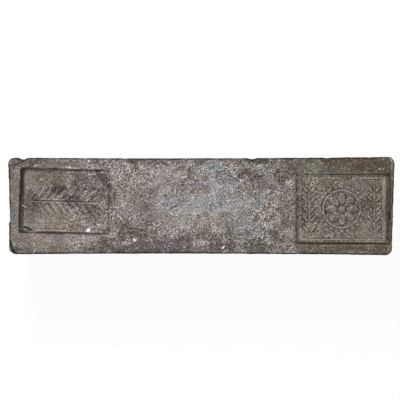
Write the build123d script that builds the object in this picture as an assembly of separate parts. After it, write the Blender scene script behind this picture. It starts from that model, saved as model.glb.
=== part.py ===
"""A quarter-hundredweight tin ingot, as it lies on a floor with its open-cast face up.

It is one solid. Molten tin was poured into an iron mould, so the four sides have the mould's
draft, and the poured face sank a little towards its middle as the metal cooled. Two steel dies
were then struck into that face, one near each end. Each is modelled here as the die itself, and
the ingot is what is left when the dies are taken away from the casting.

The frame: the origin is under the middle of the ingot, on the floor. +X runs along the ingot,
+Y across it and +Z up, out of the struck face. All sizes are in millimetres.
"""

import os
from math import atan, cos, degrees, radians, sin, sqrt, tan

from build123d import *

# The casting: 14 by 3 1/2 by 2 1/2 inches, which in tin is 28 pounds.
length = 356.0  # over the rim of the poured face, before its corners are rounded
left_width = 89.3  # across the rim at the left end
right_width = 90.9  # across the rim at the right end
height = 64.0  # from the floor to the rim at the two ends
draft_angle = 6.5  # lean of each side towards the base
right_end_slant = 2.6  # how far the front corner of the right end stands back
left_end_slant = 0.9  # how far the front corner of the left end stands back
side_waist = 0.7  # how far each long side bows in at its middle
left_end_waist = 1.2  # how far the left end bows in at its middle
corner_radius = 6.0  # upright corners
rim_radius = 1.6  # round of the edge of the poured face
base_radius = 3.5  # round of the edge of the base
sink = 1.9  # how far the middle of the poured face lies below its ends

# Two nicks in the back edge of the rim, where the metal froze in folds.
end_nick_depth = 1.8
end_nick_from_left = 14.5
end_nick_radius = 4.5
middle_nick_depth = 1.4
middle_nick_from_right = 131.2
middle_nick_radius = 10.0

# The dies. A floor is measured inside its sloping walls, and a margin at the floor's outer edge.
die_end_slope = 45.0  # lean of a die's two short sides from upright
die_side_slope = 15.0  # lean of its two long sides
die_corner_radius = 0.8
left_floor_length = 79.0
left_floor_width = 58.2
left_margin = 14.4
left_offset = 4.3  # towards the back edge
left_turn = -1.6
left_outer_depth = 3.4
left_inner_depth = 0.8
right_floor_length = 83.4
right_floor_width = 63.7
right_margin = 7.0
right_offset = -2.8
right_turn = 0.1
right_outer_depth = 2.8
right_inner_depth = 0.8

# Both ornaments have round stems and domed, pointed leaves.
stem_width = 1.2
leaf_gap = 0.6  # from a stem's side to a leaf's foot
leaf_crown = 0.6  # the share of a leaf's rise that is its dome, above its upright edge

# The cut branch in the left die mark: leaves in pairs along a stem.
branch_depth = 0.4
branch_end_gap = 8.0  # from the floor's ends to the stem's ends
branch_leaf_length = 15.0
branch_leaf_width = 4.2
branch_leaf_lean = 52.0
branch_leaf_pairs = 9

# The raised ornament in the right die mark: a rosette in a ring of beads, between two sprigs,
# inside a thin border.
relief_height = 0.9
border_gap = 3.2
border_width = 0.9
border_rise = 0.5
rosette_radius = 15.0
rosette_boss_radius = 3.4
petal_foot_radius = 4.4
petal_width = 7.0
petal_count = 8
ring_gap = 2.2  # from the petals' tips to the ring's middle line
ring_width = 1.3
bead_gap = 3.4  # from the ring's middle line to the beads' middles
bead_radius = 1.6
bead_count = 24
sprig_leaf_length = 7.0
sprig_leaf_width = 2.6
sprig_leaf_lean = 40.0
sprig_leaf_pairs = 5
sprig_end_gap = 8.0

# Worked out from the sizes above.
half_length = length / 2
sink_radius = (half_length**2 + sink**2) / (2 * sink)
bead_circle = rosette_radius + ring_gap + bead_gap
clear = 5.0  # how far a cutting shape passes the faces that it cuts


def back_edge(x):
    """How far the rim's back edge stands from the middle, at a place along the ingot."""
    share = x / half_length
    straight = (left_width + right_width) / 4 + share * (right_width - left_width) / 4
    return straight - side_waist * (1 - share**2)


def rim_outline(level, inset):
    """The ingot's outline at one level, with every side moved in by the inset."""
    left = -half_length + inset
    right = half_length - inset
    back_left = (left, left_width / 2 - inset)
    back_right = (right, right_width / 2 - inset)
    front_right = (right - right_end_slant, -right_width / 2 + inset)
    front_left = (left + left_end_slant, -left_width / 2 + inset)
    middle_y = back_edge(0) - inset
    back = ThreePointArc(back_left, (0, middle_y), back_right)
    right_end = Line(back_right, front_right)
    front = ThreePointArc(front_right, (0, -middle_y), front_left)
    left_end = ThreePointArc(front_left, (left + left_end_slant / 2 + left_end_waist, 0), back_left)
    outline = make_face([back, right_end, front, left_end])
    return Pos(0, 0, level) * fillet(outline.vertices(), corner_radius)


def top_height(x):
    """Height of the sunk poured face above the floor, at a place along the ingot."""
    return height - sink + sink_radius - sqrt(sink_radius**2 - x**2)


def casting():
    """The ingot as it left its mould, with its sunk face and rounded edges."""
    base_inset = height * tan(radians(draft_angle))
    block = loft([rim_outline(0, base_inset), rim_outline(height, 0)], ruled=True)
    end = half_length + clear
    left_foot, right_foot = (-end, top_height(end)), (end, top_height(end))
    sunk_edge = ThreePointArc(left_foot, (0, height - sink), right_foot)
    air_edge = Polyline(right_foot, (end, height + clear), (-end, height + clear), left_foot)
    air = extrude(Plane.XZ * make_face([sunk_edge, air_edge]), amount=length, both=True)
    block -= air
    rim = block.faces().sort_by(Axis.Z)[-1].edges()
    block = fillet(rim, rim_radius)
    base = block.faces().sort_by(Axis.Z)[0].edges()
    return fillet(base, base_radius)


def nick(x, depth, radius):
    """An upright round cutter that bites this deep into the back edge of the rim."""
    return Pos(x, back_edge(x) - depth + radius, height) * Cylinder(radius, height)


def cap_radius(half_width, rise):
    """Radius of the round whose cap has this half width and this rise."""
    return (half_width**2 + rise**2) / (2 * rise)


def leaf(leaf_length, leaf_width, rise):
    """A pointed leaf along +X from the origin, domed across to its rise above z = 0."""
    tip = (leaf_length, 0)
    upper = ThreePointArc((0, 0), (leaf_length / 2, leaf_width / 2), tip)
    lower = ThreePointArc(tip, (leaf_length / 2, -leaf_width / 2), (0, 0))
    outline = extrude(make_face([upper, lower]), amount=rise, both=True)
    dome_radius = cap_radius(leaf_width / 2, rise * leaf_crown)
    dome = Rot(0, 90, 0) * Cylinder(dome_radius, 2 * leaf_length)
    return outline & Pos(leaf_length / 2, 0, rise - dome_radius) * dome


def cap(x, y, half_width, rise):
    """A round bead or boss whose cap stands above z = 0."""
    radius = cap_radius(half_width, rise)
    return Pos(x, y, rise - radius) * Sphere(radius)


def frame_bar(x_size, y_size):
    """A square-edged block whose upper half stands the border's rise above z = 0."""
    return Box(x_size, y_size, 2 * border_rise)


def blank_die(floor_length, floor_width):
    """A die with a flat face at z = 0 and sides that lean out above it."""
    die_height = clear + max(left_outer_depth, right_outer_depth)
    end_lean = die_height * tan(radians(die_end_slope))
    side_lean = die_height * tan(radians(die_side_slope))
    face = RectangleRounded(floor_length, floor_width, die_corner_radius)
    back = RectangleRounded(floor_length + 2 * end_lean, floor_width + 2 * side_lean, die_corner_radius)
    return loft([face, Pos(0, 0, die_height) * back], ruled=True)


def leafy_stem(stem_length, shape, shape_length, lean, pairs):
    """A stem along X, with pairs of leaves that lean forward from its two sides."""
    leaf_run = shape_length * cos(radians(lean))
    pitch = (stem_length - leaf_run) / (pairs - 1)
    foot = leaf_gap + stem_width / 2
    pieces = [Rot(0, 90, 0) * Cylinder(stem_width / 2, stem_length)]
    for pair in range(pairs):
        for side in (1, -1):
            place = Pos(-stem_length / 2 + pair * pitch, side * foot) * Rot(0, 0, side * lean)
            pieces.append(place * shape)
    return pieces


def branch_die():
    """The left die: its face stands out in a branch, which leaves it cut into the ingot."""
    stem_length = left_floor_length - 2 * branch_end_gap
    shape = Rot(180, 0, 0) * leaf(branch_leaf_length, branch_leaf_width, branch_depth)
    pieces = leafy_stem(stem_length, shape, branch_leaf_length, branch_leaf_lean, branch_leaf_pairs)
    return blank_die(left_floor_length, left_floor_width) + pieces


def rosette():
    """Petals round a boss, then a ring, then beads."""
    pieces = [cap(0, 0, rosette_boss_radius, relief_height)]
    petal = leaf(rosette_radius - petal_foot_radius, petal_width, relief_height)
    for turn in range(petal_count):
        pieces.append(Rot(0, 0, turn * 360 / petal_count) * Pos(petal_foot_radius) * petal)
    pieces.append(Torus(rosette_radius + ring_gap, ring_width / 2))
    for turn in range(bead_count):
        angle = radians(turn * 360 / bead_count)
        pieces.append(cap(bead_circle * cos(angle), bead_circle * sin(angle), bead_radius, relief_height))
    return pieces


def sprig(x):
    """An upright sprig of leaves in pairs, standing at one side of the rosette."""
    sprig_length = right_floor_width - 2 * (border_gap + sprig_end_gap)
    shape = leaf(sprig_leaf_length, sprig_leaf_width, relief_height)
    pieces = leafy_stem(sprig_length, shape, sprig_leaf_length, sprig_leaf_lean, sprig_leaf_pairs)
    return [Pos(x) * Rot(0, 0, 90) * piece for piece in pieces]


def rosette_die():
    """The right die: its ornament is sunk into its face, which leaves it raised on the ingot."""
    outer_length = right_floor_length - 2 * border_gap
    outer_width = right_floor_width - 2 * border_gap
    inside = frame_bar(outer_length - 2 * border_width, outer_width - 2 * border_width)
    border = frame_bar(outer_length, outer_width) - inside
    sprig_x = (bead_circle + bead_radius + outer_length / 2 - border_width) / 2
    pieces = [border] + rosette() + sprig(sprig_x) + sprig(-sprig_x)
    return blank_die(right_floor_length, right_floor_width) - pieces


def struck(die, outer_x, inner_x, y, turn, outer_depth, inner_depth):
    """A die as it met the ingot, deeper at the ingot's end than towards its middle."""
    outer_z = top_height(outer_x) - outer_depth
    inner_z = top_height(inner_x) - inner_depth
    middle = Pos((outer_x + inner_x) / 2, y, (outer_z + inner_z) / 2)
    tilt = degrees(atan((outer_z - inner_z) / (outer_x - inner_x)))
    return middle * Rot(0, -tilt, turn) * die


def ingot():
    """The whole ingot, with its origin under the middle of its bounding box."""
    solid = casting()
    solid -= nick(-half_length + end_nick_from_left, end_nick_depth, end_nick_radius)
    solid -= nick(half_length - middle_nick_from_right, middle_nick_depth, middle_nick_radius)
    left_outer = -half_length + left_margin
    right_outer = half_length - right_margin
    solid -= struck(
        branch_die(), left_outer, left_outer + left_floor_length,
        left_offset, left_turn, left_outer_depth, left_inner_depth,
    )
    solid -= struck(
        rosette_die(), right_outer, right_outer - right_floor_length,
        right_offset, right_turn, right_outer_depth, right_inner_depth,
    )
    middle = solid.bounding_box().center()
    return Pos(-middle.X, -middle.Y) * solid


if __name__ == "__main__":
    os.makedirs("parts", exist_ok=True)
    part = ingot()
    tin_density = 7.29e-6  # kg for each cubic millimetre
    print("size", part.bounding_box().size, "mass in tin", round(part.volume * tin_density, 2), "kg")
    print("solids", len(part.solids()), "faces", len(part.faces()))
    export_step(part, "parts/ingot.step")
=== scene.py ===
# %% [markdown]
# # A weathered tin ingot
#
# The real object is one block of cast tin, about the length of a forearm. It was poured into an
# open iron mould, so its sides taper down to the base, and its top is the metal's own skin, which
# froze rough and a little sunk. Two dies were struck into that skin, and a century or two of damp
# air gave it a dull brown and grey patina with dirt in every hollow.
#
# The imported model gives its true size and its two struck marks. It is the fixed frame here, and
# everything below is measured from it.

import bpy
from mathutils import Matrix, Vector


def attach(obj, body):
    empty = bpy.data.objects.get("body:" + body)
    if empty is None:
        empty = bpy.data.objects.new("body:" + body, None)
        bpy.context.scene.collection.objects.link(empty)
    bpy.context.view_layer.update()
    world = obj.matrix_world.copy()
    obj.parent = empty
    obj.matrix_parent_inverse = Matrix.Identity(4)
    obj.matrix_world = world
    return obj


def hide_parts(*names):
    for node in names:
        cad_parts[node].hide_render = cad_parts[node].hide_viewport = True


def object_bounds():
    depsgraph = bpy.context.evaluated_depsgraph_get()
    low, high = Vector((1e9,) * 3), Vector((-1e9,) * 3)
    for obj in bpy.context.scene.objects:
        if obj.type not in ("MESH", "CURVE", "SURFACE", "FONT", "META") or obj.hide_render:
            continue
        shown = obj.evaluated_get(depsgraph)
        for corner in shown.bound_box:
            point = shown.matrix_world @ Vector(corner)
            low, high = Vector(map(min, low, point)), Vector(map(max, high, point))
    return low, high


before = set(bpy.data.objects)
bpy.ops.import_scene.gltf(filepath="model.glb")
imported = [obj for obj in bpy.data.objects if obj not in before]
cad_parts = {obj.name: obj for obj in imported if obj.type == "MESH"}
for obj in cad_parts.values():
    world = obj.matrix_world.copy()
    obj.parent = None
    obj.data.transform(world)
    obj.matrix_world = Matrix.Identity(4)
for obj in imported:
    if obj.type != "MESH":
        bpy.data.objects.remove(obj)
cad_low, cad_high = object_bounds()
print("the casting's box, in metres:", tuple(cad_low), tuple(cad_high))

# %% [markdown]
# ## Units and rays
#
# Blender works in metres, but a founder and a die cutter think in millimetres, so sizes are
# written in millimetres and turned to metres once. Rays are the measuring probe: one is shot at
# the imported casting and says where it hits. A modifier such as Shrinkwrap could do the same, but a
# ray can be averaged over a small spot, which gives a struck edge its worn, rounded look.

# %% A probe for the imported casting
import math

import bmesh
import bpy
import numpy as np
from mathutils import Vector, noise
from mathutils.bvhtree import BVHTree

MM = 0.001

cad_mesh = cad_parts["ingot"].data
casting = BVHTree.FromPolygons(
    [vertex.co for vertex in cad_mesh.vertices],
    [face.vertices for face in cad_mesh.polygons],
)
half_length = (cad_high.x - cad_low.x) / 2
half_width = (cad_high.y - cad_low.y) / 2
FAR = 50 * MM  # clear of the casting, where a ray starts


def face_height(x, y):
    """Height of the poured face at one place, probed straight down."""
    return casting.ray_cast(Vector((x, y, cad_high.z + FAR)), Vector((0, 0, -1)))[0].z


def side_place(x, y, outward, drop):
    """Where a side lies level with a point, which is this far below the poured face above it."""
    level = face_height(x, y) - drop
    start = Vector((x, y, level)) + outward * FAR
    return casting.ray_cast(start, -outward)[0]


print("height of the poured face's middle, in mm:", round(face_height(0, 0) / MM, 2))

# %% [markdown]
# ## Places on the face
#
# The reference is a view from straight above, so every stain and nick is easiest to find there. Its
# column and row are turned to millimetres from the middle of the face by one small function. The
# camera at the end of this lesson uses the same three numbers.

# %% From the view to the metal
PHOTO_SIZE = 400  # pixels, square
INGOT_PIXELS = 386.7  # length of the ingot in the view
MIDDLE_PIXEL = (201.3, 206.0)  # where the ingot's middle is, from the top left
pixel = 2 * half_length / MM / INGOT_PIXELS


def at(column, row):
    """A place in the view, as millimetres along and across the face from its middle."""
    return (column - MIDDLE_PIXEL[0]) * pixel, (MIDDLE_PIXEL[1] - row) * pixel


print("one pixel of the view, in mm:", round(pixel, 3))

# %% [markdown]
# ## The poured face as a fine grid
#
# The face needs real relief: struck walls, grains and pits that stand up to a raking light. A grid
# of cells under a millimetre across holds all of it, and stays within the number of triangles that
# one piece may have. `create_grid` makes a plain square, so its rows and columns are then fitted
# between the four sides that the probe finds. In each corner the square is bent to a quarter round.

# %% Fit a grid between the four sides
ALONG_CELLS = 480
ACROSS_CELLS = 120
RIM_ROUND = 1.6 * MM  # round of the poured face's edge, as cast
CORNER_ROUND = 6.0 * MM  # upright corners of the casting
INSIDE = 4.0 * MM  # a place on the face that is clear of its rounded edge and of both marks

body = bmesh.new()


def cell_grid(along, across):
    """Adds a plain grid, and returns its corners in rows from the front and columns from the left."""
    made = bmesh.ops.create_grid(body, x_segments=along, y_segments=across, size=1)["verts"]
    corners = np.empty((across + 1, along + 1), dtype=object)
    for vertex in made:
        corners[round((vertex.co.y + 1) / 2 * across), round((vertex.co.x + 1) / 2 * along)] = vertex
    return corners


def edge_ring(corners):
    """The corners round a grid's edge, in order from its front left one."""
    return [*corners[0, :-1], *corners[:-1, -1], *corners[-1, :0:-1], *corners[:0:-1, 0]]


face = cell_grid(ALONG_CELLS, ACROSS_CELLS)

flat_half = np.array([half_length, half_width]) - RIM_ROUND
corner = CORNER_ROUND - RIM_ROUND
nominal_x, nominal_y = np.meshgrid(
    np.linspace(-flat_half[0], flat_half[0], ALONG_CELLS + 1),
    np.linspace(-flat_half[1], flat_half[1], ACROSS_CELLS + 1),
)
into_x = np.clip((np.abs(nominal_x) - flat_half[0] + corner) / corner, 0, 1)
into_y = np.clip((np.abs(nominal_y) - flat_half[1] + corner) / corner, 0, 1)
rounded_x = np.abs(nominal_x) + corner * into_x * (np.sqrt(1 - into_y**2 / 2) - 1)
rounded_y = np.abs(nominal_y) + corner * into_y * (np.sqrt(1 - into_x**2 / 2) - 1)
share_x = (np.sign(nominal_x) * rounded_x + flat_half[0]) / (2 * flat_half[0])
share_y = (np.sign(nominal_y) * rounded_y + flat_half[1]) / (2 * flat_half[1])

straight = np.array([half_length, half_width]) - CORNER_ROUND
columns = np.clip(nominal_x[0], -straight[0], straight[0])
rows = np.clip(nominal_y[:, 0], -straight[1], straight[1])
back, front, right, left = Vector((0, 1, 0)), Vector((0, -1, 0)), Vector((1, 0, 0)), Vector((-1, 0, 0))
near_back, near_right = half_width - INSIDE, half_length - INSIDE
back_edge = np.array([side_place(x, near_back, back, RIM_ROUND).y for x in columns]) - RIM_ROUND
front_edge = np.array([side_place(x, -near_back, front, RIM_ROUND).y for x in columns]) + RIM_ROUND
right_edge = np.array([side_place(near_right, y, right, RIM_ROUND).x for y in rows]) - RIM_ROUND
left_edge = np.array([side_place(-near_right, y, left, RIM_ROUND).x for y in rows]) + RIM_ROUND

face_x = left_edge[:, None] + share_x * (right_edge - left_edge)[:, None]
face_y = front_edge[None] + share_y * (back_edge - front_edge)[None]
cell = (face_x[0, -1] - face_x[0, 0]) / ALONG_CELLS
print("cells of the poured face, in mm:", round(cell / MM, 3), "faces:", len(body.faces))

# %% [markdown]
# ## Heights of the face
#
# Each corner of the grid takes its height from nine rays over a spot as wide as a cell. A single
# ray would cut the narrow raised lines of the die into steps. The average keeps them whole and
# soft, as old struck metal is.

# %% Probe the heights
SPOT = 0.33 * cell

face_z = np.zeros_like(face_x)
for step_x in (-SPOT, 0, SPOT):
    for step_y in (-SPOT, 0, SPOT):
        face_z += np.vectorize(face_height)(face_x + step_x, face_y + step_y) / 9
for vertex, x, y, z in zip(face.ravel(), face_x.ravel(), face_y.ravel(), face_z.ravel()):
    vertex.co = (x, y, z)
print("the face lies between, in mm:", (face_z.min() / MM).round(2), (face_z.max() / MM).round(2))

# %% [markdown]
# ## Rim, sides and base
#
# The rest of the block is the grid's edge, pulled outwards and down ring by ring:
# `extrude_edge_only` makes a ring, and its corners are set where the casting's side should be. The
# sides have less to show than the face, so at two places every second corner of a ring is
# dissolved, which halves the rings below it. The base is a coarser grid, welded by its edge to
# the last ring. Building all of it in one mesh keeps the block closed, so it has one skin.

# %% Rings down to the base
DRAFT = math.radians(6.5)  # lean of the sides, as cast
BASE_ROUND = 3.5 * MM
SIDE_STEP = 1.55 * MM  # between rings on the sides
RIM_RINGS = 4
BASE_RINGS = 3


def next_ring(ring):
    """Pulls a closed ring of corners out by one row of faces, and returns the new ring in order."""
    edges = [body.edges.get((ring[i - 1], ring[i])) for i in range(len(ring))]
    made = bmesh.ops.extrude_edge_only(body, edges=edges)["geom"]
    new = {item for item in made if isinstance(item, bmesh.types.BMVert)}
    return [next(edge.other_vert(v) for edge in v.link_edges if edge.other_vert(v) in new) for v in ring]


def halved(ring):
    """Dissolves every second corner of a ring."""
    bmesh.ops.dissolve_verts(body, verts=ring[1::2])
    return ring[::2]


ring = edge_ring(face)
edge_place = np.array([vertex.co for vertex in ring])
along_edge = np.roll(edge_place, -1, axis=0) - np.roll(edge_place, 1, axis=0)
outward = np.column_stack([along_edge[:, 1], -along_edge[:, 0]])
outward /= np.linalg.norm(outward, axis=1)[:, None]

for step in range(1, RIM_RINGS + 1):
    angle = math.radians(90) * (1 - step / RIM_RINGS)
    ring = next_ring(ring)
    out, down = RIM_ROUND * math.cos(angle), RIM_ROUND * (1 - math.sin(angle))
    for vertex, start, away in zip(ring, edge_place, outward):
        vertex.co = (start[0] + away[0] * out, start[1] + away[1] * out, start[2] - down)

ring = halved(ring)
edge_place = np.array([vertex.co for vertex in ring])
side_rings = math.ceil((cad_high.z - RIM_ROUND - BASE_ROUND) / SIDE_STEP)
for step in range(1, side_rings + 1):
    ring = next_ring(ring)
    for vertex, start in zip(ring, edge_place):
        level = start[2] + (BASE_ROUND - start[2]) * step / side_rings
        lean = (start[2] - level) * math.tan(DRAFT)
        vertex.co = (start[0] * (1 - lean / half_length), start[1] * (1 - lean / half_width), level)

edge_place = np.array([vertex.co for vertex in ring])
for step in range(1, BASE_RINGS + 1):
    angle = math.radians(90) * step / BASE_RINGS
    ring = next_ring(ring)
    inward, level = BASE_ROUND * (1 - math.cos(angle)), BASE_ROUND * (1 - math.sin(angle))
    for vertex, start in zip(ring, edge_place):
        vertex.co = (start[0] * (1 - inward / half_length), start[1] * (1 - inward / half_width), level)
ring = halved(ring)
print("rings on the sides:", side_rings, "corners in the last ring:", len(ring))

# %% The base
base = cell_grid(ALONG_CELLS // 4, ACROSS_CELLS // 4)
base_reach = np.abs([vertex.co for vertex in ring]).max(axis=0)
for vertex in base.ravel():
    vertex.co = (vertex.co.x * base_reach[0], vertex.co.y * base_reach[1], 0)
bmesh.ops.weld_verts(body, targetmap=dict(zip(edge_ring(base), ring)))
bmesh.ops.triangulate(body, faces=[part for part in body.faces if len(part.verts) > 4])
bmesh.ops.recalc_face_normals(body, faces=body.faces)
print("open edges:", sum(not edge.is_manifold for edge in body.edges), "faces:", len(body.faces))

# %% [markdown]
# ## Wrap the block onto the casting
#
# The rings were set by the mould's draft alone. The real sides bow in a little and carry two nicks,
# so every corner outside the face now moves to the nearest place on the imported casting, as a
# Shrinkwrap modifier would move it. The mesh is then turned to arrays, because the next steps treat
# all of its corners alike, and an array does that in one line.

# %% Wrap, and turn the mesh to arrays
on_face = set(face.ravel())
for vertex in body.verts:
    if vertex not in on_face:
        vertex.co = casting.find_nearest(vertex.co)[0]
body.verts.index_update()
body.normal_update()
face_index = np.array([[vertex.index for vertex in row] for row in face])
place = np.array([vertex.co for vertex in body.verts]) / MM
normal = np.array([vertex.normal for vertex in body.verts])
edge_ends = np.array([[vertex.index for vertex in edge.verts] for edge in body.edges])
corner_count = len(place)
print("corners:", corner_count, "volume in cubic cm:", round(body.calc_volume() / MM**3 / 1000, 1))


def spread(values, rounds):
    """Averages each corner's value with its neighbours' values, this many times."""
    ends = np.concatenate([edge_ends, edge_ends[:, ::-1]])
    share = 1 / (1 + np.bincount(ends[:, 0], minlength=corner_count))
    for _ in range(rounds):
        values = (values + np.bincount(ends[:, 0], values[ends[:, 1]], corner_count)) * share
    return values


def over_face(values):
    """Gives the grid's values to the mesh's corners, with 0 outside the face."""
    everywhere = np.zeros(corner_count)
    everywhere[face_index] = values
    return everywhere


def ramp(values, low, high):
    """0 below the low value, 1 above the high one, and smooth between them."""
    share = np.clip((values - low) / (high - low), 0, 1)
    return share * share * (3 - 2 * share)


# %% [markdown]
# ## Where the dies struck
#
# The casting's face is a shallow trough, so its height depends only on the place along it. What
# lies below that height was struck. The ornament's tops may reach the old face again, so each mark
# is filled between its outermost struck rows and columns. A die also pushes metal aside, which
# stands up as a low lip along the back of the mark, and that lip catches the light.

# %% The struck areas and their lips
LIP_HEIGHT = 0.2  # mm, and so are the next two
STRUCK_DEPTH = 0.06  # deeper than this is struck, and not the trough
LEAST_FLOOR = 0.4  # depth of a mark's floor where it is shallowest
RIM_CELLS = 6  # cells along the edge that the rim's own round lowers

trough = np.array([face_height(x, near_back) for x in face_x[0]])
sunk = (trough[None] - face_z) / MM


def filled(mask):
    """Closes the gaps in a mark, along its rows and along its columns."""
    for axis in (0, 1):
        before = np.logical_or.accumulate(mask, axis)
        after = np.flip(np.logical_or.accumulate(np.flip(mask, axis), axis), axis)
        mask = mask | (before & after)
    return mask


inside_rim = (slice(RIM_CELLS, -RIM_CELLS), slice(RIM_CELLS, -RIM_CELLS))
inner = np.zeros_like(sunk, dtype=bool)
inner[inside_rim] = sunk[inside_rim] > STRUCK_DEPTH
left_half = face_x < 0
left_mark, right_mark = filled(inner & left_half), filled(inner & ~left_half)
struck = over_face(left_mark | right_mark)
floor_depth = np.maximum(np.percentile(sunk, 70, axis=0), LEAST_FLOOR)
height_in_mark = over_face(1 - np.clip(sunk / floor_depth[None], 0, 1)) * struck
lip = np.clip(spread(struck, 5) * 2, 0, 1) * (1 - struck) * (place[:, 1] > 0)
print("struck share of the face:", round((left_mark | right_mark).mean(), 3))

# %% [markdown]
# ## Noise at every corner
#
# Cast tin that has lain in the damp is covered in grains and pits about one to three millimetres
# across. A noise texture in the material could fake them, but only real relief shades and shadows
# as the metal does from every side. The noise is read once for each corner of the mesh, so that
# relief, stains and dirt can all follow it.

# %% Noise at every corner
points = [Vector(p) for p in place]
along, across, up = place.T
upward = ramp(normal[:, 2], 0.3, 0.9)


def pattern(size, seed, drawn_down=1):
    """Smooth noise, about -1 to 1, with lumps this many millimetres across, or drawn out downwards."""
    shift = Vector((17.3, -9.1, 5.7)) * seed
    scale = Vector((1, 1, 1 / drawn_down)) / size
    return np.array([noise.noise(point * scale + shift) for point in points]) * 1.6


coarse = pattern(5.2, 1)
medium = pattern(2.3, 2)
fine = pattern(1.2, 3)
swell = 0.22 * pattern(42, 5) + 0.10 * pattern(15, 6)
print("noise of 2.3 mm, 2% and 98%:", np.percentile(medium, (2, 98)).round(2))

# %% [markdown]
# ## Tones of the patina
#
# Tin goes brown under grime and oil, olive where brass or copper lay near it, plum where it stayed
# wet, and blue-grey where it was rubbed. These tones are soft blots on the face, and noise makes
# their edges wander. A painted image could hold them too, but a blot stays sharp at any size, and
# is moved by changing one number.

# %% Soft blots
ragged = pattern(6, 13)
wander_x = 4.5 * pattern(19, 11) + 2.0 * ragged
wander_y = 3.5 * pattern(17, 12) + 1.6 * pattern(5, 14)


def blot(column, row, reach_columns, reach_rows, strength=1.0):
    """The strength in the middle of a blot, and 0 outside its reach."""
    x, y = at(column, row)
    far_x = (along + wander_x - x) / (reach_columns * pixel)
    far_y = (across + wander_y - y) / (reach_rows * pixel)
    return strength * ramp(np.hypot(far_x, far_y) + 0.12 * medium, 1.2, 0.5)


def blots(places):
    """Several blots as one mask."""
    return np.clip(sum(blot(*one) for one in places), 0, 1)


def past_column(first, last):
    """0 before the first column of the view, 1 past the last one, and smooth between them."""
    return ramp(along, at(first, 0)[0], at(last, 0)[0])


print("blots wander along by up to, in mm:", np.abs(wander_x).max().round(1))
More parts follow.
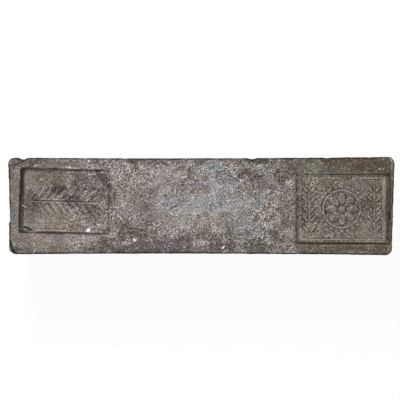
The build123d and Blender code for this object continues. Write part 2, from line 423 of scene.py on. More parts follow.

# %% [markdown]
# ## Where the stains lie
#
# Each stain is a column and a row of the view, how far it reaches each way in pixels, and a
# strength where it is below 1. They were placed one by one, and then made stronger or weaker where
# a render beside the view asked for it.

# %% Places of the stains
STAINS = {
    "rubbed": [
        (170, 205, 14, 9, 0.7), (205, 206, 22, 9), (188, 212, 16, 7, 0.9), (218, 208, 12, 9, 0.8),
        (256, 204, 11, 6, 0.7), (245, 207, 8, 8, 0.6), (235, 205, 9, 9, 0.9), (212, 187, 10, 11),
        (200, 198, 26, 6, 0.8), (216, 171, 10, 8, 0.6), (230, 180, 9, 10, 0.5), (222, 190, 18, 6, 0.6),
        (238, 222, 12, 9, 0.5), (250, 232, 10, 9, 0.5), (165, 199, 10, 6, 0.5), (207, 165, 10, 4, 0.5),
    ],
    "slate": [
        (217, 172, 10, 6, 0.8), (230, 180, 9, 9, 0.7), (256, 204, 9, 5, 0.7), (246, 232, 9, 7),
        (238, 224, 8, 5, 0.6), (174, 205, 7, 6, 0.5), (211, 205, 3, 7, 0.7), (224, 201, 4, 5, 0.7),
        (207, 165, 7, 3, 0.8),
    ],
    "pale": [
        (33, 173, 8, 5, 0.3), (345, 210, 10, 8, 0.25), (155, 175, 6, 5, 0.5), (116, 169, 6, 7, 0.3),
        (128, 166, 6, 4, 0.6), (120, 182, 4, 5, 0.6), (155, 175, 10, 8), (163, 188, 6, 4, 0.9),
        (172, 170, 8, 4, 0.6), (178, 177, 8, 4, 0.7), (187, 174, 4, 8, 0.6), (203, 170, 4, 6, 0.7),
        (213, 216, 9, 4, 0.9), (185, 213, 18, 4, 0.6), (180, 222, 16, 5, 0.5), (136, 182, 8, 8, 0.4),
        (128, 212, 9, 9, 0.4), (75, 241, 9, 4, 0.9), (88, 230, 4, 3), (100, 225, 5, 4, 0.8),
        (97, 204, 6, 4, 0.5), (88, 162, 4, 3, 0.8), (41, 223, 6, 5, 0.25), (56, 223, 16, 6, 0.25),
        (40, 241, 10, 6, 0.5), (172, 175, 8, 6, 0.4), (172, 232, 5, 4, 0.5), (205, 223, 8, 4, 0.6),
        (262, 216, 7, 6, 0.5), (275, 221, 6, 4, 0.5), (258, 231, 4, 6, 0.6), (385, 181, 6, 8, 0.9),
        (365, 226, 13, 8, 0.4), (308, 236, 14, 6, 0.8), (365, 236, 20, 5, 0.4),
    ],
    "mauve": [
        (200, 183, 10, 8), (185, 186, 14, 5, 0.9), (153, 193, 6, 7, 0.9), (150, 182, 14, 10, 0.4),
        (120, 213, 9, 7, 0.5), (172, 193, 6, 5, 0.6), (105, 166, 12, 6, 0.5), (212, 248, 14, 5, 0.8),
    ],
    "tan": [
        (52, 226, 18, 8, 0.8), (62, 218, 13, 12, 0.9), (75, 226, 8, 6, 0.8), (50, 212, 10, 9, 0.6),
        (15, 235, 7, 12, 0.7), (15, 195, 6, 24, 0.6), (30, 241, 20, 5, 0.8), (50, 247, 22, 4, 0.9),
        (70, 163, 9, 5, 0.7), (55, 163, 12, 4, 0.5), (40, 162, 8, 4, 0.6), (130, 190, 14, 14, 0.35),
        (225, 163, 10, 3, 0.9), (247, 187, 9, 6, 0.7), (266, 210, 6, 14, 0.6), (285, 190, 9, 20, 0.5),
        (283, 228, 6, 7, 0.7), (205, 232, 18, 8, 0.35),
    ],
    "olive": [
        (46, 178, 18, 10, 0.7), (60, 182, 14, 9, 0.6), (67, 173, 8, 5, 0.6), (45, 198, 12, 10, 0.8),
        (84, 194, 7, 5, 0.6), (90, 206, 10, 5, 0.7), (95, 215, 12, 8, 0.6), (255, 194, 9, 4, 0.6),
        (280, 170, 11, 12, 0.7), (250, 163, 10, 4, 0.6), (285, 212, 10, 20, 0.6), (88, 247, 12, 3, 0.6),
        (62, 246, 15, 4, 0.4), (34, 161, 9, 3, 0.6), (118, 223, 12, 5, 0.4),
    ],
    "moss": [
        (302, 165, 9, 10, 0.3), (326, 168, 11, 5, 0.5), (262, 160, 14, 4), (252, 245, 15, 9, 0.7),
        (264, 248, 14, 6, 0.7), (274, 233, 6, 9, 0.8), (135, 161, 9, 4, 0.6), (36, 208, 6, 12, 0.5),
        (45, 252, 30, 2, 0.5), (100, 250, 26, 4, 0.8), (150, 252, 50, 3, 0.6), (320, 251, 25, 3, 0.5),
        (360, 250, 25, 3, 0.4), (228, 233, 4, 8, 0.5), (330, 186, 8, 10, 0.3), (312, 214, 9, 9, 0.4),
        (370, 205, 11, 8, 0.5), (356, 208, 5, 9, 0.3),
    ],
    "plum": [
        (165, 243, 30, 6, 0.8), (212, 248, 18, 7, 0.7), (185, 236, 11, 5, 0.6), (228, 247, 12, 6, 0.6),
        (140, 247, 22, 7, 0.9), (175, 250, 22, 5, 0.9), (118, 246, 9, 6, 0.7), (27, 214, 5, 14, 0.6),
        (266, 187, 8, 7, 0.6), (80, 182, 10, 10, 0.6), (75, 200, 14, 9, 0.5), (56, 191, 7, 6, 0.5),
        (100, 182, 10, 14, 0.5), (256, 175, 12, 8, 0.3),
    ],
    "brown": [
        (56, 191, 8, 6), (31, 200, 6, 14, 0.8), (73, 200, 12, 8, 0.8), (76, 188, 6, 8, 0.5),
        (82, 178, 11, 8, 0.3), (102, 177, 9, 6), (108, 184, 4, 8), (94, 187, 8, 4, 0.7),
        (98, 197, 8, 5, 0.7), (108, 196, 4, 12, 0.7), (92, 208, 10, 7, 0.4), (95, 217, 10, 8, 0.3),
        (104, 229, 7, 5, 0.8), (118, 237, 6, 5), (103, 243, 8, 6, 0.8), (118, 228, 9, 5, 0.6),
        (125, 231, 10, 5, 0.7), (138, 233, 14, 6, 0.8), (152, 232, 9, 5, 0.6), (134, 170, 5, 7, 0.7),
        (142, 205, 6, 9, 0.5), (147, 222, 6, 6, 0.6), (185, 240, 12, 5, 0.4), (203, 235, 10, 6, 0.5),
        (215, 240, 10, 6, 0.6), (230, 243, 7, 9, 0.6), (229, 228, 4, 9, 0.6), (193, 172, 5, 8, 0.7),
        (182, 172, 4, 7, 0.6), (247, 174, 9, 8, 0.6), (256, 180, 10, 7, 0.6), (243, 168, 4, 9, 0.6),
        (281, 178, 7, 7, 0.7), (290, 165, 8, 10, 0.6), (255, 222, 4, 5, 0.7), (285, 222, 7, 3, 0.6),
        (222, 217, 5, 3, 0.6), (275, 241, 7, 8, 0.5), (20, 161, 9, 4, 0.5), (10, 165, 4, 7, 0.3),
        (34, 159, 9, 2, 0.8), (13, 250, 7, 5, 0.6), (25, 250, 11, 4, 0.5), (10, 172, 4, 9, 0.6),
        (145, 162, 20, 5, 0.6), (122, 161, 12, 4, 0.5), (175, 162, 12, 4, 0.4), (46, 174, 10, 4, 0.2),
        (60, 163, 52, 5, 0.5), (274, 230, 6, 6, 0.3), (285, 207, 7, 9, 0.2), (270, 165, 7, 7, 0.4),
        (285, 172, 7, 8, 0.2), (308, 186, 8, 8, 0.3), (88, 200, 22, 28, 0.15), (135, 205, 20, 36, 0.2),
        (262, 238, 22, 12, 0.15), (150, 193, 6, 6, 0.2), (12, 190, 8, 40, 0.25), (230, 158.5, 180, 3, 0.6),
        # the blot at column 299, row 208 is painted shade beside the right mark's left wall
        (200, 252, 195, 2, 0.3), (299, 208, 5, 40, 0.6), (288, 240, 10, 8, 0.3), (108, 190, 6, 20, 0.4),
    ],
    "umber": [
        (372, 165, 27, 10), (350, 162, 26, 7, 0.9), (335, 158, 16, 4, 0.8), (348, 172, 34, 4, 0.7),
        (380, 172, 14, 6, 0.6), (391, 205, 5, 45, 0.9), (372, 188, 12, 4, 0.5), (370, 205, 12, 8, 0.4),
        (385, 248, 8, 6, 0.5), (345, 247, 46, 5, 0.5), (270, 160, 20, 4, 0.4),
    ],
}
PITTED = [
    (262, 218, 20, 20), (250, 236, 14, 11, 0.8), (276, 200, 12, 20, 0.6), (216, 165, 12, 7, 0.8),
    (226, 184, 14, 10, 0.5), (90, 185, 12, 12, 0.5), (101, 190, 7, 16, 0.6), (310, 205, 9, 30, 0.2),
    (232, 168, 36, 12, 0.9), (185, 170, 30, 9, 0.6), (95, 164, 32, 6, 0.8), (262, 240, 24, 10, 0.7),
    (243, 218, 8, 7, 0.6), (281, 208, 8, 14, 0.5),
]
print("stains:", sum(map(len, STAINS.values())))

# %% Tones at every corner
RIGHT_END = (291, 301)  # columns of the view over which the smoother, greener right end begins

right_end = past_column(*RIGHT_END)
tones = {name: blots(places) for name, places in STAINS.items()}
tones["olive"] = np.clip((0.86 - 0.12 * struck) * right_end + tones["olive"], 0, 1)

streaks = pattern(16, 17, 2.5) + 0.5 * ragged
side_tones = {
    "brown": 0.8 * ramp(streaks, 0.05, 0.8),
    "olive": 0.8 * ramp(-streaks, 0.0, 0.7),
    "tan": 0.5 * ramp(ragged, 0.1, 0.8),
    "plum": 0.35 * ramp(pattern(24, 18), 0.1, 0.7),
}
for name in tones:
    tones[name] = tones[name] * upward + side_tones.get(name, 0) * (1 - upward)
pitted = upward * blots(PITTED)
print("share of each tone:", {name: round(mask[face_index].mean(), 2) for name, mask in tones.items()})

# %% [markdown]
# ## How rough each zone is
#
# The struck floors and the margins were pressed or froze against the mould, so they are smoother.
# The middle of the poured face froze last and in the open. It is the roughest, apart from where it
# was rubbed. Within every zone rough patches change with smooth ones. The relief adds up coarse,
# middling and fine grains, takes off the pits and puts on small flecks, all in millimetres.

# %% Roughness of the zones
MIDDLE = (60, 72)  # columns over which the rough middle begins
SPRIG_STRIP = (326, 322)  # columns over which the right mark's rougher left strip ends

middle = past_column(*MIDDLE) * (1 - right_end)
strip = struck * past_column(*SPRIG_STRIP) * right_end
smooth_places = np.maximum.reduce([0.75 * tones["rubbed"], 0.75 * tones["plum"], 0.6 * tones["moss"]])
rough = 0.42 + 0.68 * middle * (1 - 0.7 * smooth_places) + (0.24 + 0.2 * strip) * right_end
rough *= 0.40 + 0.85 * ramp(ragged + 0.9 * medium, -0.9, 0.9)
rough_sides = -0.08 + 0.25 * ramp(ragged, -0.3, 0.7)
rough = np.clip(rough, 0, 1) * upward + rough_sides * (1 - upward)

pit = ramp(pattern(1.6, 4), 0.55, 1.0)
fleck = ramp(pattern(1.4, 7), 0.55, 1.0)
relief = 0.08 * coarse + 0.15 * medium + 0.15 * fine - 0.60 * pit + 0.35 * fleck
relief *= (0.25 + 0.75 * rough) * upward + 0.25 * (1 - upward)
print("roughness, 2% and 98%:", np.percentile(rough[face_index], (2, 98)).round(2))

# %% [markdown]
# ## Bumps of the outline
#
# A mould wears and metal freezes in folds, so no edge of the block is straight. The rim wanders a
# little in and out, and most at the ends. On the left end a fold has left a step. The sides carry
# faint level ripples, which are where the metal paused as it rose, and a few shallow dents. The
# base has shallow pits, where air was caught under the metal.

# %% Wandering edges, rippled sides and a pitted base
FOLD_ROW = 222  # row of the view where the fold's step is
FOLD_DEPTH = 0.54  # mm, and so are the next three
RIPPLE_HEIGHT = 0.06
DENT_DEPTH = 0.5
BASE_PITS = 0.3
RIPPLE_TURN = 0.8  # radians for each mm up, which makes a ripple 8 mm high

sideways = 1 - upward
jagged = pattern(3.0, 9)
left_side = ramp(normal[:, 0], -0.5, -0.9)
right_side = ramp(normal[:, 0], 0.5, 0.9)
fold_y = at(0, FOLD_ROW)[1]
above_fold = ramp(across, fold_y - 0.4, fold_y + 0.4)
pushed_in = above_fold * ramp(across, fold_y + 16, fold_y + 2)
pushed_out = (1 - above_fold) * ramp(across, fold_y - 20, fold_y - 4)
fold = left_side * (pushed_in - 0.6 * pushed_out) * ramp(up, 30, 60)
rough_ends = (0.16 * left_side + 0.14 * right_side) * ramp(up, 40, 56)
outline = 0.10 * pattern(11, 8) + (0.08 + rough_ends) * jagged - FOLD_DEPTH * fold

ripple = RIPPLE_HEIGHT * np.sin(up * RIPPLE_TURN + 4 * pattern(45, 10))
ripple *= ramp(pattern(28, 19), -0.3, 0.5)
ripple -= DENT_DEPTH * ramp(pattern(8, 20), 0.75, 1.15)
lift = swell * upward + relief + sideways * (outline + ripple) + LIP_HEIGHT * lip * (0.5 + medium)
downward = ramp(-normal[:, 2], 0.3, 0.9)
lift = lift * (1 - downward) - BASE_PITS * ramp(medium + coarse, 0.0, 1.2) * downward
print("lift of the sides, 2% and 98%, in mm:", np.percentile(lift[sideways > 0.9], (2, 98)).round(2))

# %% [markdown]
# ## Marks made one at a time
#
# Some marks are there once: a bright nick, a crater with a bright ring, a fold in a corner. Each is
# a line through a few places of the view, or a dot at one place. A bright mark stands up a little
# and shows bare tin; a few are painted highlights on two round corners and on a lip. A burr stands
# up a little and is light: a few are dusty edges that a die pushed up, and most are painted
# highlights and lighter strokes on walls that the lamps leave dark. A dark mark is a groove with
# dirt in it, and some are painted shadows. A table of them reads better than a call for each.

# %% Lines and craters
def line(width, *places):
    """1 on a line through these places of the view, and 0 outside its width in pixels."""
    near = np.full(corner_count, np.inf)
    knots = [np.array(at(*one)) for one in places]
    for start, end in zip(knots, knots[1:] or knots):
        way = end - start
        from_start = np.column_stack([along, across]) - start
        share = np.clip(from_start @ way / max(way @ way, 1e-6), 0, 1)
        near = np.minimum(near, np.linalg.norm(from_start - share[:, None] * way, axis=1))
    return ramp(near, (0.5 * width + 0.25) * pixel, (0.5 * width - 0.35) * pixel) * upward


def lines(rows):
    """Adds up lines. A row is a strength, a width and the line's places."""
    return sum(strength * line(width, *places) for strength, width, *places in rows)


def crater(column, row, radius):
    """A thin broken ring round one place of the view."""
    x, y = at(column, row)
    from_ring = np.abs(np.hypot(along - x, across - y) - radius * pixel)
    return ramp(from_ring, 1.0 * pixel, 0.1 * pixel) * ramp(fine, -0.6, 0.1) * upward


# %% Nicks, burrs and grooves
KNOCK_HEIGHT = 0.35  # mm, and so are the next two
BURR_HEIGHT = 0.25
GROOVE_DEPTH = 0.45

# The strips in the top and bottom right corners are painted highlights on the corners' round, and the
# stroke along row 167 from column 67 to 80 a painted highlight on the lip. The rest are nicks of bare tin.
KNOCKS_AND_HIGHLIGHTS = [
    (1.0, 3.7, (88.3, 230.5)), (0.5, 1.4, (97.5, 224.6), (100, 225.4)), (0.6, 1.4, (89.5, 228.6)),
    (1.0, 1.6, (134, 239.2), (134.6, 241)), (0.9, 1.5, (222.6, 248.4), (224.2, 246.4)),
    (0.8, 1.5, (65.8, 166.8)), (0.5, 0.8, (67, 167), (72, 168), (80, 168.8)), (0.7, 2.0, (88.7, 161.2)),
    (0.5, 1.3, (92.5, 164.5)), (0.6, 1.3, (93, 167.7)), (0.5, 1.4, (101.7, 162.3)),
    (0.9, 1.5, (125.2, 163.2)), (0.6, 1.3, (88.3, 175)), (0.4, 0.7, (89, 174.7), (95, 174.4)),
    (0.6, 1.2, (94.8, 174.4)), (0.6, 0.9, (100.7, 172.5), (103, 172.4)), (0.8, 1.6, (112.8, 173)),
    (0.4, 0.9, (116.5, 179.2), (119.5, 180.5), (121.5, 182.5)), (0.6, 1.3, (110.3, 181.7)),
    (0.5, 1.2, (96.5, 184)), (0.5, 1.3, (115.8, 197.2)), (0.6, 1.4, (71, 194.7)), (0.7, 1.6, (35.5, 165.7)),
    (0.4, 1.2, (14.5, 177.2)), (0.7, 0.8, (22.2, 204.9), (23.4, 206.3), (25.6, 206.8)),
    (0.5, 0.9, (145, 200.2), (148.8, 202.8)), (0.5, 0.8, (163.8, 245.2), (165.4, 246.4), (165.2, 248.4)),
    (0.6, 1.2, (151.6, 240)), (0.5, 1.5, (171.2, 243.4)), (0.6, 1.7, (184.6, 247.2)),
    (0.6, 1.2, (168.3, 251)), (0.6, 1.6, (379.6, 169)), (0.5, 1.3, (383.4, 169.2)),
    (0.4, 1.2, (376.2, 171.2)), (0.3, 0.9, (389.5, 158.5), (391, 160), (392, 164), (391.9, 170)),
    (0.2, 0.9, (390.6, 246.4), (389.9, 249), (388, 251)),
    (0.25, 0.8, (204, 164), (205.5, 168), (203.5, 172)), (0.3, 0.8, (215, 168), (221, 170.2), (225, 168.6)),
    (0.25, 0.8, (208, 176.6), (216, 174.4)), (0.3, 0.8, (12.5, 241), (15.2, 245.5)),
    (0.3, 0.8, (23, 250.8), (27, 249.8)),
]
CRATERS = [(0.4, 202.6, 243.3, 1.9), (0.3, 214.3, 242.4, 1.3), (0.2, 153, 246, 2.0)]
# Most of these light lines are painted light: highlights along walls and lips that face the light, and
# lighter strokes on walls that the lamps leave dark, round both marks. A few are dusty burrs.
BURRS_AND_HIGHLIGHTS = [
    (0.6, 1.0, (27, 231.4), (36, 231.3)), (1.5, 1.1, (36, 230.5), (52, 230.7), (66, 231.1)),
    (0.8, 1.0, (66, 231.3), (82, 231.6)), (0.2, 1.0, (82, 231.6), (98, 232)),
    (0.6, 1.2, (299, 175.6), (385, 175.6)), (0.3, 1.0, (299, 174.4), (328, 174.4)),
    (0.35, 1.0, (328, 173.3), (385, 173.3)), (0.6, 1.0, (21.6, 229.5), (23.4, 225.6), (24.2, 221)),
    (0.5, 1.0, (40, 168.2), (53, 168.5)), (0.6, 1.1, (25, 169.7), (40, 169.8), (47, 170.2), (68, 170.7)),
    (0.35, 1.0, (25, 166.9), (40, 167.2)), (0.45, 1.3, (112.8, 178), (112.8, 206)),
    (0.6, 1.4, (342, 242), (386, 242)), (0.7, 1.4, (384.8, 178), (385.1, 200), (385, 240)),
    (0.4, 1.0, (389.3, 178), (388.9, 212)), (0.7, 1.1, (389.7, 221), (389.5, 238)),
    (0.5, 1.3, (391.7, 211), (391.3, 221)),
]
# a lighter stroke along the foot of the left mark's left wall, where the lamps leave it dark
BROKEN_BURR_HIGHLIGHT = [(0.5, 1.0, (24.6, 176), (24.2, 200), (23.6, 224))]
# Some of these dark lines are painted shadows: the one beside the notch at the top left, the line along the
# left mark's bottom wall, where the lip shades it, and the lines down the left mark's left wall. The rest
# are grooves and folds with dirt in them.
GROOVES_AND_SHADOWS = [
    (0.6, 1.4, (13.4, 168.6), (15, 165), (18, 163), (24, 161.6)),
    (0.4, 1.6, (8.6, 164), (10, 160.6), (13, 158.8)),
    (1.0, 2.2, (22.6, 227.3), (25.8, 227.7), (28, 228.8), (30.8, 230)),
    (1.0, 2.6, (10.4, 242), (11.6, 247), (13, 250.5), (14.5, 252)),
    (0.5, 1.1, (13, 249), (20, 249.6), (28, 251.4)), (0.9, 1.8, (175.9, 206.3)), (0.7, 1.6, (189.3, 241)),
    (0.6, 1.6, (203.6, 233.2)), (0.6, 1.6, (163, 213.2)), (0.6, 1.5, (127, 227)),
    (0.3, 3.0, (211, 206), (211, 211)), (0.3, 2.0, (243, 176), (246, 184)),
    (0.3, 3.0, (76, 176), (80, 180)), (0.8, 1.6, (13, 158.8), (19, 160), (23.3, 161.2), (28, 159.6)),
    (0.6, 1.6, (246, 159.4), (252, 160.4), (258, 159.2)), (0.4, 1.6, (99, 176), (104, 182), (103, 190)),
    (0.5, 1.2, (297, 175.4), (308, 174.8)), (0.5, 1.0, (290, 238), (297, 246), (299, 251)),
    (0.75, 1.2, (20, 231.8), (31, 232.6)), (1.0, 1.2, (36, 232.6), (48, 232.6), (64, 232.7)),
    (0.6, 1.3, (64, 232.7), (84, 233.4), (109, 234.3)), (0.8, 2.2, (20.6, 196), (20, 206), (19.6, 226)),
    (0.5, 2.0, (22.2, 171), (21.8, 184), (21.2, 196)), (0.7, 1.2, (390.9, 212), (390.3, 218), (389.9, 227)),
    (0.6, 1.2, (388.4, 221), (388.2, 240)), (0.5, 1.0, (300, 244.3), (386, 244.3)),
    (1.0, 1.5, (298, 243.1), (320, 243.5), (350, 243.4), (386, 243.5)),
]
nicks_and_highlights = lines(KNOCKS_AND_HIGHLIGHTS) + sum(strength * crater(*one) for strength, *one in CRATERS)
broken_burr_highlight = lines(BROKEN_BURR_HIGHLIGHT) * ramp(jagged, -0.3, 0.5)
burrs_and_highlights = (lines(BURRS_AND_HIGHLIGHTS) + broken_burr_highlight) * (0.45 + 0.55 * ramp(fine + medium, -0.6, 0.5))
grooves_and_shadows = lines(GROOVES_AND_SHADOWS)
lift += KNOCK_HEIGHT * nicks_and_highlights + BURR_HEIGHT * burrs_and_highlights - GROOVE_DEPTH * grooves_and_shadows
print("corners under bright marks:", int((nicks_and_highlights > 0.3).sum()))
print("corners under dark marks:", int((grooves_and_shadows > 0.3).sum()))

# %% [markdown]
# ## Walls, grooves and rim
#
# The steep walls of the marks and the groove at their foot are painted dark, partly for dirt and
# partly as the shade of the recess, and the rim of the block is painted dark as shade. The dies' own
# relief is read here, before the grains are raised, because they would hide it. On the right mark
# that relief is worn soft in places, so its surface is drawn towards the average of its neighbours.

# %% Walls and grooves of the marks
def hollow(rounds):
    """How far each corner lies below the surface round it, in millimetres."""
    below = np.column_stack([spread(place[:, axis], rounds) for axis in range(3)]) - place
    return np.einsum("ij,ij->i", below, normal)


# past these columns the right mark's back wall gets its full painted dirt and shade
BACK_WALL = (336, 326)  # columns over which the right mark's back wall grows dark
FRONT_GROOVE = (-20, -23)  # mm across, where the front grooves are deeper

steep = ramp(normal[:, 2], 0.97, 0.80)
back_wall = ramp(normal[:, 1], -0.3, -0.6)
left_wall = ramp(normal[:, 0], -0.3, -0.6)
# The steep walls are painted dark, for dirt and for the shade of the recess. Less is painted on the right
# mark's walls that face left or the front, and less again on walls that face the front, apart from the
# right part of the right mark.
wall_dirt_and_shade = steep * np.clip(spread(struck, 1) * 1.3, 0, 1) * ramp(over_face(sunk), 0.05, 0.4)
wall_dirt_and_shade *= 1 - 0.65 * np.maximum(left_wall, back_wall) * right_end
wall_dirt_and_shade *= 1 - 0.7 * back_wall * np.maximum(1 - right_end, past_column(*BACK_WALL))
wall_dirt_and_shade *= np.clip(0.9 + 0.35 * medium + 0.35 * fine + 0.35 * right_end * jagged, 0, 1)
# The upper part of the walls, outside the right end, gets a blacker coat of the same dirt and shade.
wall_top_dirt_and_shade = wall_dirt_and_shade * height_in_mark * (1 - right_end)
# A band along each mark's edge is painted dark, for dirt and for the shade of the crease there. It is
# weaker at the right end and stronger at the front.
edge = spread(struck, 3)
groove_dirt_and_shade = ramp(4 * edge * (1 - edge), 0.75, 1.0)
groove_dirt_and_shade *= 0.4 - 0.25 * right_end + 0.5 * ramp(across, *FRONT_GROOVE)
print("corners on dark walls:", int((wall_dirt_and_shade > 0.5).sum()))

# %% Worn relief of the dies, and the rim's painted shade
RIGHT_RIM = (386, 388)  # columns over which the narrow rim beyond the right mark begins

worn = ramp(pattern(9, 16), -0.3, 0.5) * ramp(spread(struck, 8), 0.96, 1.0) * 0.5 * right_end
place[:, 2] += worn * (spread(place[:, 2], 8) - place[:, 2])
carved = hollow(4) * upward * (1 - steep) * np.where(along < 0, 1.8, 1.7)
# The round of the rim is painted black as shade, where it turns away from the light. The shade fades below
# the face and is weaker on the narrow rim beyond the right mark.
rim = np.clip(2.0 * spread(ramp(normal[:, 2], 0.995, 0.85) * (1 - struck), 2), 0, 1)
below_rim = np.interp(along, face_x[0] / MM, trough / MM) - up
rim *= 0.75 + 0.25 * ramp(pattern(4, 15), -0.6, 0.2)
rim *= ramp(below_rim + 0.5 * jagged, 2.8, 1.2)
rim *= 1 - 0.5 * past_column(*RIGHT_RIM) * ramp(normal[:, 2], 0.8, 0.98)
print("carved relief, 2% and 98%, in mm:", np.percentile(carved[struck > 0], (2, 98)).round(3))

# %% [markdown]
# ## Raise the grains and find the hollows
#
# The corners move along their normals by the lift. Hollows are then found by comparing each corner
# with the average of its neighbourhood: what lies below the average is a hollow, where dirt stays,
# and what stands above it is worn bright. The form of the casting is taken off that measure, so
# that its own round edges don't count as worn.

# %% Move the corners
form_hollow = hollow(3)
place += normal * lift[:, None]
near_hollow = (hollow(3) - 0.6 * form_hollow * (1 - struck)) * (1 - ramp(edge * (1 - edge), 0.0, 0.1))
wide_hollow = hollow(40)
print("fine hollows, 2% and 98%:", np.percentile(near_hollow, (2, 98)).round(3))
print("wide hollows, 2% and 98%:", np.percentile(wide_hollow, (2, 98)).round(3))

# %% The ingot's mesh, with its masks
for vertex, co in zip(body.verts, place * MM):
    vertex.co = co
ingot_mesh = bpy.data.meshes.new("tin_ingot")
body.to_mesh(ingot_mesh)
body.free()
ingot_mesh.shade_smooth()
ingot = bpy.data.objects.new("tin_ingot", ingot_mesh)
bpy.context.scene.collection.objects.link(ingot)

masks = {
    "rough": rough, "pitted": pitted, "near_hollow": near_hollow, "wide_hollow": wide_hollow,
    "nicks_and_highlights": nicks_and_highlights, "burrs_and_highlights": burrs_and_highlights, "grooves_and_shadows": grooves_and_shadows, "carved": carved,
    "groove_dirt_and_shade": groove_dirt_and_shade, "wall_dirt_and_shade": wall_dirt_and_shade, "wall_top_dirt_and_shade": wall_top_dirt_and_shade, "rim": rim,
    "sideways": sideways - downward, **tones,
}
for name, values in masks.items():
    layer = ingot_mesh.attributes.new(name, "FLOAT", "POINT")
    layer.data.foreach_set("value", values.astype(np.float32))
print("faces:", len(ingot_mesh.polygons), "masks:", len(masks))

# %% [markdown]
# ## Colours and nodes
#
# Colours are written as they look on a screen and turned to the linear numbers that Blender's
# shaders want. One small function adds a node, sets it and links it, so that a material reads as a
# list of what was done to the metal.

# %% Two helpers for materials
def linear(hex_colour):
    """A screen colour such as #85796f as linear red, green, blue and alpha."""
    screen = [int(hex_colour[i:i + 2], 16) / 255 for i in (1, 3, 5)]
    return [c / 12.92 if c <= 0.04045 else ((c + 0.055) / 1.055) ** 2.4 for c in screen] + [1]


def add(tree, kind, inputs=(), **settings):
    """Adds a node with its settings. Its inputs come in order or by name, and each is a value, another
    node's output, or a node whose first output is meant."""
    made = tree.nodes.new("ShaderNode" + kind)
    for name, value in settings.items():
        setattr(made, name, value)
    for socket, value in inputs.items() if isinstance(inputs, dict) else enumerate(inputs):
        if isinstance(value, bpy.types.Node):
            value = value.outputs[0]
        if isinstance(value, bpy.types.NodeSocket):
            tree.links.new(value, made.inputs[socket])
        else:
            made.inputs[socket].default_value = value
    return made


# %% [markdown]
# ## The tin
#
# Clean tin is a bright, soft, silvery metal. A century of damp air covers it with a thin brown-grey
# skin of oxide and grime, through which the metal still gives a dull sheen. So the shader is a
# rough metal of a low metallic value, darker and quite matt in pits and hollows, and brighter and
# smoother on grains and nicks. Every pattern has a real size in millimetres and is fixed to the
# metal by its Object coordinates.

# %% Colours of the tin
PATINA = "#78706b"
RUBBED_TIN, PALE_OXIDE = "#94979b", "#a0958f"
# The dirt colours also paint shade on the walls, grooves and rim of the block, and the dusty edge and bare
# tin also paint highlights and glints.
BRIGHT_GRAIN, BARE_TIN_AND_HIGHLIGHT = "#cac4c0", "#e8e3de"
GRIME, BLACK_DIRT_AND_SHADE, BROWN_DIRT_AND_SHADE = "#2a2220", "#1c1513", "#402c22"
DUSTY_EDGE_AND_HIGHLIGHT = "#a59c8c"
TINTS = {
    "slate": "#d8dcde", "mauve": "#f4eef6", "tan": "#f4f0e4", "olive": "#d6d6c7",
    "moss": "#c1c4bd", "plum": "#c8c2c8", "brown": "#beb7b1", "umber": "#ccc0b4",
}

# %% Patterns in the tin
FINE_GRAIN = 0.85  # mm, grain of the frozen skin, drawn coarser than it is, or it wouldn't show
GRIT = 1.6  # mm, single larger grains and pits
CRYSTAL = 1.5  # mm, between single crystals that are worn bright or have fallen out
SPARK = 1.0  # mm, between the smallest crystals: one in ten is bright, and one in sixteen is gone
SHRED = 2.6  # mm, between the thin bright shreds of bare metal
LAP = 15.0  # mm, between the level lines on the sides, where the rising metal lapped over itself
WAVE_SCALE = 0.314  # a Wave texture of this scale has one band in each unit of length

tin = bpy.data.materials.new("weathered_cast_tin")
tin.use_nodes = True
tin_tree = tin.node_tree
surface = add(tin_tree, "TexCoord").outputs["Object"]

lumps = {}
for name, size, detail, distortion in (
    ("speckle", FINE_GRAIN, 2.0, 0.0), ("grit", GRIT, 1.0, 0.4), ("mottle", 7, 3.0, 0.0),
    ("shred", SHRED, 1.0, 0.6), ("shred_places", 6.5, 2.0, 0.0), ("crystal_places", 12, 2.0, 0.0),
    ("spark_places", 9, 2.0, 0.0), ("lap_places", 30, 2.0, 0.0),
):
    inputs = {"Scale": 1 / (size * MM), "Detail": detail, "Roughness": 0.6, "Distortion": distortion}
    lumps[name] = add(tin_tree, "TexNoise", {"Vector": surface, **inputs})
kept = {name: add(tin_tree, "Attribute", attribute_name=name).outputs["Fac"] for name in masks}

# %% Grains, shreds, laps and crystals
coarse_share = add(tin_tree, "MapRange", (kept["rough"], 0.15, 1.0))
fine_share = add(tin_tree, "MapRange", (kept["rough"], -0.5, 1.0))

off_middle = add(tin_tree, "Math", (lumps["shred"], 0.5), operation="SUBTRACT")
ridge = add(tin_tree, "Math", (off_middle,), operation="ABSOLUTE")
shred_places = add(tin_tree, "MapRange", (lumps["shred_places"], 0.48, 0.62, 0, coarse_share))

waves = {"Scale": WAVE_SCALE / (LAP * MM), "Distortion": 7.0, "Detail": 2.0, "Detail Scale": 1.0}
wave = add(tin_tree, "TexWave", {"Vector": surface, **waves}, bands_direction="Z").outputs["Fac"]
lap_places = add(tin_tree, "MapRange", (lumps["lap_places"], 0.48, 0.58, 0, kept["sideways"]))
lap = add(tin_tree, "MapRange", (wave, 0.95, 1.0, 0, lap_places))


def crystals(spacing, gathered, zone, outer, inner):
    """Single crystals this many millimetres apart: where they show, and a luck from 0 to 1 for each."""
    cells = add(tin_tree, "TexVoronoi", {"Vector": surface, "Scale": 1 / (spacing * MM)}).outputs
    places = add(tin_tree, "Math", (gathered, kept["pitted"]), operation="MAXIMUM")
    places = add(tin_tree, "Math", (places, zone), operation="MULTIPLY")
    shown = add(tin_tree, "MapRange", (cells["Distance"], outer, inner, 0, places))
    return shown, add(tin_tree, "SeparateColor", (cells["Color"],))


